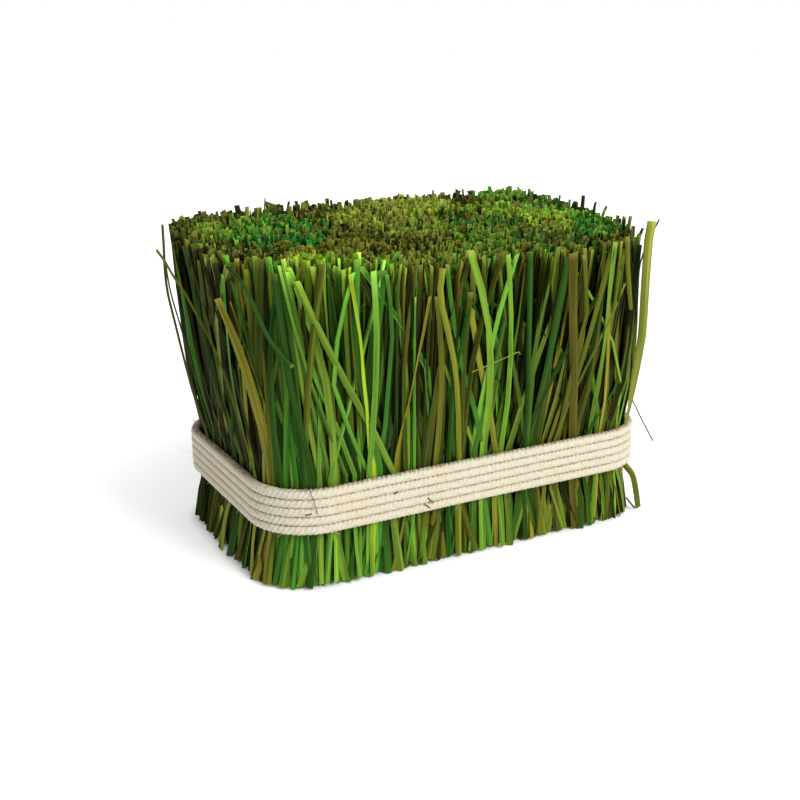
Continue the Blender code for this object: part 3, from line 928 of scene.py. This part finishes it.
def tall_tips(master):
    """Blades that were cut longer and stand above the top."""
    u, v, rise, lean, half_width = np.array([tip[:5] for tip in TALL_TIPS]).T
    count = len(u)
    tip = top_height(u, v) + rise * MM
    heights, _, above = heights_of(master, np.full(count, WAIST_HIGH), tip)
    centres = block_points(u[:, None] + 0 * heights, v[:, None] + 0 * heights, heights)
    bend = np.clip((above - 0.8) / 0.2, 0, 1) ** 1.5
    centres[..., :2] += (lean * MM)[:, None, None] * bend[..., None] * TO_THE_RIGHT
    angle = math.atan2(TO_THE_RIGHT[1], TO_THE_RIGHT[0]) + chance.normal(0, 0.3, count)
    across, outward = upright_frame(level_way(angle)[:, None, :])
    half_width = half_width[:, None] * MM * (1 - 0.25 * bend)
    shape = {
        "half_width": half_width,
        "thickness": 0.18 * MM,
        "roll": 0.8,
        "fold": 0.35 * half_width,
        "slant": chance.normal(0, 0.3, count),
    }
    dye = dyes_of([blade[5] for blade in TALL_TIPS])
    return Crop(master, centres, across, outward, dye, 1, **shape)


# Rope
def band_path(steps):
    """Points, outward directions and lengths along the rope's middle, from end to end."""
    half_length = HALF_BAND_LENGTH - CAD_ROPE_THICKNESS / 2
    half_width = HALF_BAND_WIDTH - CAD_ROPE_THICKNESS / 2
    radius = BAND_CORNER - CAD_ROPE_THICKNESS / 2
    straights = (2 * (half_length - radius), 2 * (half_width - radius))
    arc = math.pi / 2 * radius
    legs = (straights[0], arc, straights[1], arc) * 2
    turn_length = sum(legs)
    start = turn_length - legs[7] - legs[6] - legs[5] - ROPE_END_GAP
    travelled = np.linspace(0, ROPE_TURNS * turn_length, steps)
    here = (start + travelled) % turn_length
    marks = np.concatenate([[0], np.cumsum(legs)])
    leg = np.clip(np.digitize(here, marks) - 1, 0, 7)
    part = here - marks[leg]
    quarter = leg // 2
    heading = quarter * math.pi / 2 + np.where(leg % 2 == 1, part / radius, 0)
    outward = np.stack([np.sin(heading), -np.cos(heading)], axis=-1)
    forward = level_way(heading)
    corner_x = np.array([1, 1, -1, -1])[quarter] * (half_length - radius)
    corner_y = np.array([-1, 1, 1, -1])[quarter] * (half_width - radius)
    corner = np.stack([corner_x, corner_y], axis=-1)
    back = np.where(leg % 2 == 0, np.array(legs)[leg] - part, 0)
    flat = corner + outward * radius - forward * back[:, None]
    return flat, outward, forward, travelled, turn_length


def waves(along, *lengths_and_starts):
    """A sum of waves of several lengths."""
    return sum(np.sin(along / length + start) for length, start in lengths_and_starts)


def rope_points():
    """The points of the rope's skin by ring, their grain, and how far each lies in a groove or a seam."""
    flat, outward, forward, travelled, turn_length = band_path(ROPE_STEPS + 1)
    wander = waves(travelled, (0.041, 0), (0.0173, 2), (0.0931, 4))
    swell = waves(travelled, (0.0123, 0), (0.0291, 1))
    flat = flat + outward * (0.07 * MM * wander)[:, None]
    height = rope_height(travelled, turn_length)
    height = height + 0.05 * MM * np.sin(travelled / 0.0233 + 1.0) + 0.04 * MM * wander

    around = np.arange(ROPE_SIDES)
    step_angle = 2 * math.pi / ROPE_SIDES
    lobe_angle = (around % STRAND_SIDES - STRAND_SIDES // 2) * step_angle
    reach = STRAND_CENTRE * np.cos(lobe_angle)
    reach = reach + np.sqrt(STRAND_RADIUS ** 2 - (STRAND_CENTRE * np.sin(lobe_angle)) ** 2)
    uneven = 0.45 * np.sin(travelled / 0.0171) + 0.35 * np.sin(travelled / 0.0407 + 1)
    angle = around * step_angle + (travelled / ROPE_LAY * 2 * math.pi + uneven)[:, None]
    squeezed = 1.07 + 0.10 * (1 - np.cos(4 * angle))
    reach = reach[None, :] * (1 + 0.016 * swell[:, None]) * squeezed
    sideways, upward = reach * np.cos(angle), reach * np.sin(angle)
    points = np.zeros((ROPE_STEPS + 1, ROPE_SIDES, 3))
    points[..., :2] = flat[:, None, :] + outward[:, None, :] * sideways[..., None]
    points[..., 2] = height[:, None] + upward

    # How far each point lies in a groove between strands and in a seam where turns meet, which the cotton
    # darkens as painted shade
    groove = (abs(lobe_angle) / math.radians(60)) ** 2 + np.zeros((ROPE_STEPS + 1, 1))
    inside_band = (points[..., 2] < band_high.z - SEAM_EDGE) & (points[..., 2] > band_low.z + SEAM_EDGE)
    seam = np.clip((abs(upward / reach) - 0.72) / 0.2, 0, 1) * inside_band
    over_strands = np.broadcast_to((lobe_angle + 9 * (around // STRAND_SIDES))[None, :], groove.shape)
    along = np.broadcast_to((travelled / MM)[:, None], groove.shape)
    return points, np.stack([over_strands, along, np.zeros(groove.shape)], axis=-1), groove, seam


def rope_mesh(name):
    """The rope: three strands twisted together, as one winding tube with three low lobes."""
    points, grain, groove, seam = rope_points()
    mesh = bpy.data.meshes.new(name)
    ring = np.arange(ROPE_SIDES)
    starts = np.arange(ROPE_STEPS)[:, None] * ROPE_SIDES
    nearer, further = starts + ring, starts + (ring + 1) % ROPE_SIDES
    quads = np.stack([nearer, further, further + ROPE_SIDES, nearer + ROPE_SIDES], axis=-1)
    faces = [tuple(face) for face in quads.reshape(-1, 4)]
    faces += [tuple(ring[::-1]), tuple(ROPE_STEPS * ROPE_SIDES + ring)]
    mesh.from_pydata(points.reshape(-1, 3), [], faces)
    dress_mesh(mesh, rope_places(), {"grain": grain, "groove": groove[..., None], "seam": seam[..., None]})
    return link_object(name, mesh)


def rope_places():
    """Lays the rope's skin out in rows over its map, with its two ends in a corner."""
    per_row = ROPE_STEPS // ROPE_MAP_ROWS
    step, side = np.meshgrid(np.arange(ROPE_STEPS), np.arange(ROPE_SIDES), indexing="ij")
    corners = np.stack([step, side, step, side + 1, step + 1, side + 1, step + 1, side], axis=-1)
    corners = corners.reshape(-1, 4, 2).astype(float)
    row = (step // per_row).reshape(-1, 1)
    across = (corners[..., 0] - row * per_row) / per_row
    up = (row + 0.06 + 0.88 * corners[..., 1] / ROPE_SIDES) / ROPE_MAP_ROWS
    ends = np.zeros((2 * ROPE_SIDES, 2))
    return np.concatenate([np.stack([across, up], axis=-1).reshape(-1, 2), ends])


def rope_height(travelled, turn_length):
    """Height of the rope's middle, which climbs by one thickness a turn."""
    pitch = (band_high.z - band_low.z - CAD_ROPE_THICKNESS) / ROPE_TURNS
    return band_low.z + CAD_ROPE_THICKNESS / 2 + pitch * travelled / turn_length


def cotton_fibres(master):
    """Fine fibres that stand off the rope, a worn tuft at one corner, and two frayed ends."""
    steps = 4000
    flat, outward, forward, travelled, turn_length = band_path(steps)
    height = rope_height(travelled, turn_length)
    ends = (np.zeros(FRAYED_FIBRES, int), np.full(FRAYED_FIBRES, steps - 1))
    at = np.concatenate([chance.integers(0, steps, LOOSE_FIBRES), *ends])
    to_back_left = flat @ np.array([-0.5, 0.5])
    at_corner = np.flatnonzero(to_back_left > to_back_left.max() - 0.4 * MM)
    at[:WORN_FIBRES] = chance.choice(at_corner, WORN_FIBRES)
    count = len(at)
    number = np.arange(count)
    at_end = number >= LOOSE_FIBRES
    worn = number < WORN_FIBRES
    way = np.where(number < LOOSE_FIBRES + FRAYED_FIBRES, -1.0, 1.0)
    around = np.where(at_end, chance.uniform(-3.1, 3.1, count), chance.normal(0, 0.85, count))
    from_middle = np.where(at_end, chance.uniform(0, 1.8, count), 2.25) * MM
    out, ahead = (np.concatenate([level, np.zeros((steps, 1))], axis=-1)[at] for level in (outward, forward))
    normal = out * np.cos(around)[:, None] + np.array([0.0, 0.0, 1.0]) * np.sin(around)[:, None]
    root = np.concatenate([flat, height[:, None]], axis=-1)[at] + normal * from_middle[:, None]
    slope = np.where(at_end, way * chance.uniform(2, 5, count), chance.normal(0, 1.6, count))
    heading = normal * np.where(at_end, 0.5, 0.35)[:, None] + ahead * slope[:, None]
    heading = unit(heading + chance.normal(0, 0.45, (count, 3)))
    length = np.where(at_end, chance.uniform(3, 8, count), chance.gamma(2.2, 0.8, count)) * MM
    length[worn] *= 1.3
    curl = chance.normal(0, 0.35, (count, 3)) + 0.12 * normal
    share = master.levels[None, :, None]
    run = heading[:, None, :] * share + curl[:, None, :] * share ** 2
    centres = root[:, None, :] + length[:, None, None] * run
    across = unit(np.cross(heading, chance.normal(0, 1, (count, 3))))
    side = np.cross(heading, across)
    radius = np.where(worn, WORN_FIBRE_RADIUS, FIBRE_RADIUS)
    shape = {"half_width": radius[:, None], "thickness": radius, "roll": 0.01, "fold": 0}
    dye = np.ones((count, 3)) * np.exp(chance.normal(0, 0.08, (count, 1))) * linear(FIBRE_CREAM)
    return Crop(master, centres, across[:, None, :], side[:, None, :], dye, 1, **shape)


# Materials
class Value:
    """A number that a material works out, so that sums of values are written as sums."""

    def __init__(self, recipe, socket):
        self.recipe = recipe
        self.socket = socket

    def __add__(self, other):
        return self.recipe.math("ADD", self, other)

    def __mul__(self, other):
        return self.recipe.math("MULTIPLY", self, other)

    def __rsub__(self, other):
        return self.recipe.math("SUBTRACT", other, self)

    def between(self, low, high):
        """0 below the low value and 1 above the high one, smooth between them."""
        settings = {"interpolation_type": "SMOOTHSTEP"}
        sockets = {"Value": self, "From Min": low, "From Max": high}
        return self.recipe.add("ShaderNodeMapRange", settings, sockets)


class Recipe:
    """One material and the nodes that make it."""

    def __init__(self, name):
        self.material = bpy.data.materials.new(name)
        self.material.use_nodes = True
        self.tree = self.material.node_tree
        self.surface = self.tree.nodes["Principled BSDF"]

    def add(self, kind, settings=None, sockets=None, output=0):
        node = self.tree.nodes.new(kind)
        for name, setting in (settings or {}).items():
            setattr(node, name, setting)
        for name, value in (sockets or {}).items():
            self.feed(node.inputs[name], value)
        return Value(self, node.outputs[output])

    def feed(self, socket, value):
        if isinstance(value, Value):
            self.tree.links.new(value.socket, socket)
        else:
            socket.default_value = value

    def finish(self, sockets):
        """Sets or links the surface's own sockets, and hands over the material."""
        for name, value in sockets.items():
            self.feed(self.surface.inputs[name], value)
        return self.material

    def attribute(self, name, output):
        return self.add("ShaderNodeAttribute", {"attribute_name": name}, output=output)

    def mix(self, first, second, share, blend="MIX"):
        """A colour between two, by a share."""
        settings = {"data_type": "RGBA", "blend_type": blend}
        return self.add("ShaderNodeMix", settings, {0: share, 6: first, 7: second}, 2)

    def tint(self, colour, factor):
        """A colour times another."""
        return self.mix(colour, (*factor, 1), 1.0, "MULTIPLY")

    def math(self, operation, *values):
        return self.add("ShaderNodeMath", {"operation": operation}, dict(enumerate(values)))

    def vector(self, operation, *vectors, output=0):
        return self.add("ShaderNodeVectorMath", {"operation": operation}, dict(enumerate(vectors)), output)

    def noise(self, place, stretch=(1, 1, 1), scale=1.0, detail=2.0):
        """A cloudy pattern, finer along each axis by its stretch."""
        vector = self.vector("MULTIPLY", place, stretch)
        return self.add("ShaderNodeTexNoise", None, {"Vector": vector, "Scale": scale, "Detail": detail})

    def bump(self, height, strength, distance):
        sockets = {"Height": height, "Strength": strength, "Distance": distance}
        return self.add("ShaderNodeBump", None, sockets)


def grass_material(name):
    """Dyed dried grass: veins along the blade, blotches where the dye took less, painted light and shade
    across each blade's fold, a painted highlight along its edges, pale cut ends.
    """
    recipe = Recipe(name)
    # The dye attribute holds each blade's dye with its painted shade and light multiplied in
    dye = recipe.attribute("dye", "Color")
    grain = recipe.attribute("grain", "Vector")
    rise = recipe.attribute("rise", "Fac")
    edge = recipe.attribute("edge", "Fac")
    veins = recipe.noise(grain, (2.2, 0.035, 1), detail=3.0)
    streaks = recipe.noise(grain, (0.95, 0.012, 1))
    # Broad lighter and darker halves across each blade, as painted light and shade of its fold
    painted_fold_light = recipe.noise(grain, (0.36, 0.010, 1), detail=1.0)
    blotches = recipe.noise(grain, (0.25, 0.045, 1), detail=3.0)
    fresh_ends = recipe.noise(grain, (0, 0, 1.3), detail=0.0).between(0.48, 0.62)

    # Lighter and darker by the veins and streaks of the dye, and by the painted light and shade of the fold
    lightness = veins.between(0.3, 0.7) * 0.22 + streaks.between(0.35, 0.65) * 0.40
    lightness = lightness + painted_fold_light.between(0.36, 0.64) * 0.38
    colour = recipe.mix(recipe.tint(dye, DARK_TINT), recipe.tint(dye, LIGHT_TINT), lightness)
    colour = recipe.mix(colour, recipe.tint(dye, YELLOWED_TINT), blotches.between(0.54, 0.78) * 0.5)
    # A painted highlight along each blade's edges
    colour = recipe.mix(colour, recipe.tint(dye, PAINTED_EDGE_HIGHLIGHT), edge.between(0.86, 1.0) * 0.35)
    cut = rise.between(0.9985, 1.0) + (1 - rise.between(0.0, 0.0015))
    near_end = rise.between(0.970, 0.999)
    pale = recipe.mix(recipe.tint(dye, END_TINT), opaque(STRAW_END), fresh_ends * 0.36 + 0.06)
    return recipe.finish({
        "Base Color": recipe.mix(colour, pale, cut * 0.45 + near_end * 0.45),
        "Roughness": veins * 0.18 + 0.50,
        "Specular IOR Level": 0.06,
        "Normal": recipe.bump(veins * 0.7 + streaks * 0.3, 0.5, 0.25 * MM),
    })


def cotton_material(name):
    """Undyed cotton: cream on the strands, painted shade of beige in the grooves between them and of pinkish
    brown in dashes where the turns meet, fine yarns across.
    """
    recipe = Recipe(name)
    grain = recipe.attribute("grain", "Vector")
    groove = recipe.attribute("groove", "Fac")
    seam = recipe.attribute("seam", "Fac")
    place = recipe.add("ShaderNodeTexCoord", output="Object")
    yarns = recipe.noise(grain, (5.0, 2.2, 1), detail=3.0)
    wool = recipe.noise(place, scale=1400.0, detail=3.0)
    stains = recipe.noise(place, scale=60.0)
    dashes = recipe.noise(place, (1, 1, 2), 420.0)
    colour = recipe.mix(opaque(COTTON_DARK), opaque(COTTON_LIGHT), yarns.between(0.3, 0.7))
    # Painted shade in the grooves between the strands
    colour = recipe.mix(colour, opaque(PAINTED_GROOVE_SHADE), groove.between(0.45, 1.0) * 0.30)
    colour = recipe.mix(colour, opaque(COTTON_STAIN), stains.between(0.50, 0.72) * 0.42)
    # Painted shade in dashes along the seams where the turns meet
    colour = recipe.mix(colour, opaque(PAINTED_SEAM_SHADE), seam * (dashes.between(0.42, 0.58) * 0.80))
    return recipe.finish({
        "Base Color": colour,
        "Roughness": 0.92,
        "Specular IOR Level": 0.15,
        "Normal": recipe.bump(yarns * 0.6 + wool * 0.4, 0.8, 0.3 * MM),
    })


def fibre_material(name):
    """Single cotton fibres, some whiter than others."""
    recipe = Recipe(name)
    waxy = recipe.noise(recipe.attribute("grain", "Vector"), scale=0.7)
    colour = recipe.mix(recipe.attribute("dye", "Color"), opaque(FIBRE_WHITE), waxy.between(0.3, 0.7) * 0.6)
    return recipe.finish({"Base Color": colour, "Roughness": 0.8})


def finish_piece(piece, material, nodes=()):
    """Gives a piece its material and its place in the frame."""
    piece.data.materials.append(material)
    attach(piece, "root")
    if nodes:
        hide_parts(*nodes)


# The object
def make_grass():
    inner_master = Master("inner_blade", 6, INNER_LEVELS)
    outer_master = Master("outer_blade", 8, OUTER_LEVELS)
    long_master = Master("long_blade", 8, LONG_LEVELS)
    crops = [inner_blades(inner_master)]
    for count, depth, shade in OUTER_LAYERS:
        crops.append(outer_blades(outer_master, count, depth * MM, shade))
    grass = grass_material("dyed_grass")
    for row, row_name in enumerate(ROW_NAMES):
        for column in range(len(COLUMN_EDGES) - 1):
            name = f"{row_name}_{column + 1}"
            parts = [crop.part((sheaf[0] == column) & (sheaf[1] == row)) for crop, sheaf in crops]
            finish_piece(join_crops(f"grass_{name}", parts), grass, [f"sheaf_{name}"])
    slots = {part["node"]: part["material_slot"] for part in frame["record"]["subparts"]}
    for slot in ("blades_green", "blades_dark", "blades_olive", "blades_yellow"):
        nodes = sorted(node for node in slots if slots[node] == slot)
        piece = join_crops(f"standing_{slot}", [shown_blades(long_master, nodes, slot)])
        finish_piece(piece, grass, nodes)
    finish_piece(join_crops("loose_blades", [loose_blades(long_master)]), grass)
    finish_piece(join_crops("tall_tips", [tall_tips(long_master)]), grass)


def make_rope():
    finish_piece(rope_mesh("twisted_rope"), cotton_material("undyed_cotton"), ["rope_binding"])
    fibres = cotton_fibres(Master("cotton_fibre", 3, FIBRE_LEVELS))
    finish_piece(join_crops("cotton_fibres", [fibres]), fibre_material("cotton_fibre"))


# The studio
def grey(lightness):
    return (lightness, lightness, lightness, 1)


def make_backdrop():
    """A white dome far behind everything, which shows but throws no light."""
    bpy.ops.mesh.primitive_uv_sphere_add(radius=5.9, segments=48, ring_count=24)
    dome = bpy.context.object
    dome.name = "backdrop"
    for rays in ("diffuse", "glossy", "transmission", "shadow"):
        setattr(dome, f"visible_{rays}", False)
    dome.data.materials.append(Recipe("white_backdrop").finish({
        "Base Color": grey(0),
        "Specular IOR Level": 0.0,
        "Emission Color": grey(1),
        "Emission Strength": 1.0,
    }))


def make_floor():
    """The floor: it glows with painted light, dimmer near the block as a painted shadow and nearly dark
    under it as a painted contact shadow, and whiter away from it, as lit paper is that runs up behind.
    """
    bpy.ops.mesh.primitive_plane_add(size=12)
    floor = bpy.context.object
    floor.name = "floor"
    recipe = Recipe("pale_floor")
    place = recipe.add("ShaderNodeTexCoord", output="Object")
    away = recipe.vector("LENGTH", place, output="Value")
    # The floor's glow is dimmer near the block, a painted shadow
    glow = recipe.mix(grey(0.50), grey(0.80), away.between(0.13, 0.29))
    glow = recipe.mix(glow, grey(1), away.between(0.9, 2.0))
    _, half_length, half_width, corner = OUTLINE[0]
    straight = (half_length - corner, half_width - corner, 1)
    past = recipe.vector("SUBTRACT", recipe.vector("ABSOLUTE", place), straight)
    past = recipe.vector("LENGTH", recipe.vector("MAXIMUM", past, (0, 0, 0)), output="Value")
    # A painted contact shadow under the block and just round it
    painted_contact_shadow = 1 - past.between(corner - 0.006, corner + 0.008)
    floor.data.materials.append(recipe.finish({
        "Base Color": grey(0.78),
        "Roughness": 0.9,
        "Specular IOR Level": 0.0,
        "Emission Color": recipe.mix(glow, grey(0.03), painted_contact_shadow),
        "Emission Strength": 1.0,
    }))


def make_light():
    """A square soft light that faces the block."""
    light = bpy.data.lights.new("key", "AREA")
    light.size = KEY_SIZE
    light.energy = KEY_POWER
    lamp = link_object("key", light)
    lamp.location = KEY_PLACE
    lamp.rotation_euler = (Vector((0, 0, LIT_HEIGHT)) - lamp.location).to_track_quat("-Z", "Y").to_euler()


def make_studio():
    make_floor()
    make_backdrop()
    world = bpy.data.worlds.new("studio")
    world.use_nodes = True
    sky = world.node_tree.nodes["Background"]
    sky.inputs["Color"].default_value = grey(1)
    sky.inputs["Strength"].default_value = 0.50
    bpy.context.scene.world = world
    make_light()
    bpy.context.scene.view_settings.view_transform = "Standard"
    bpy.context.scene.view_settings.look = "None"


def make_camera():
    camera = bpy.data.cameras.new("camera")
    camera.sensor_width = 36
    camera.lens = CAMERA_LENS
    thing = link_object("camera", camera)
    thing.location = CAMERA_PLACE
    thing.rotation_euler = (math.radians(90 - CAMERA_DOWN), 0, math.radians(-CAMERA_RIGHT))
    bpy.context.scene.camera = thing


make_camera()
make_grass()
make_rope()
make_studio()
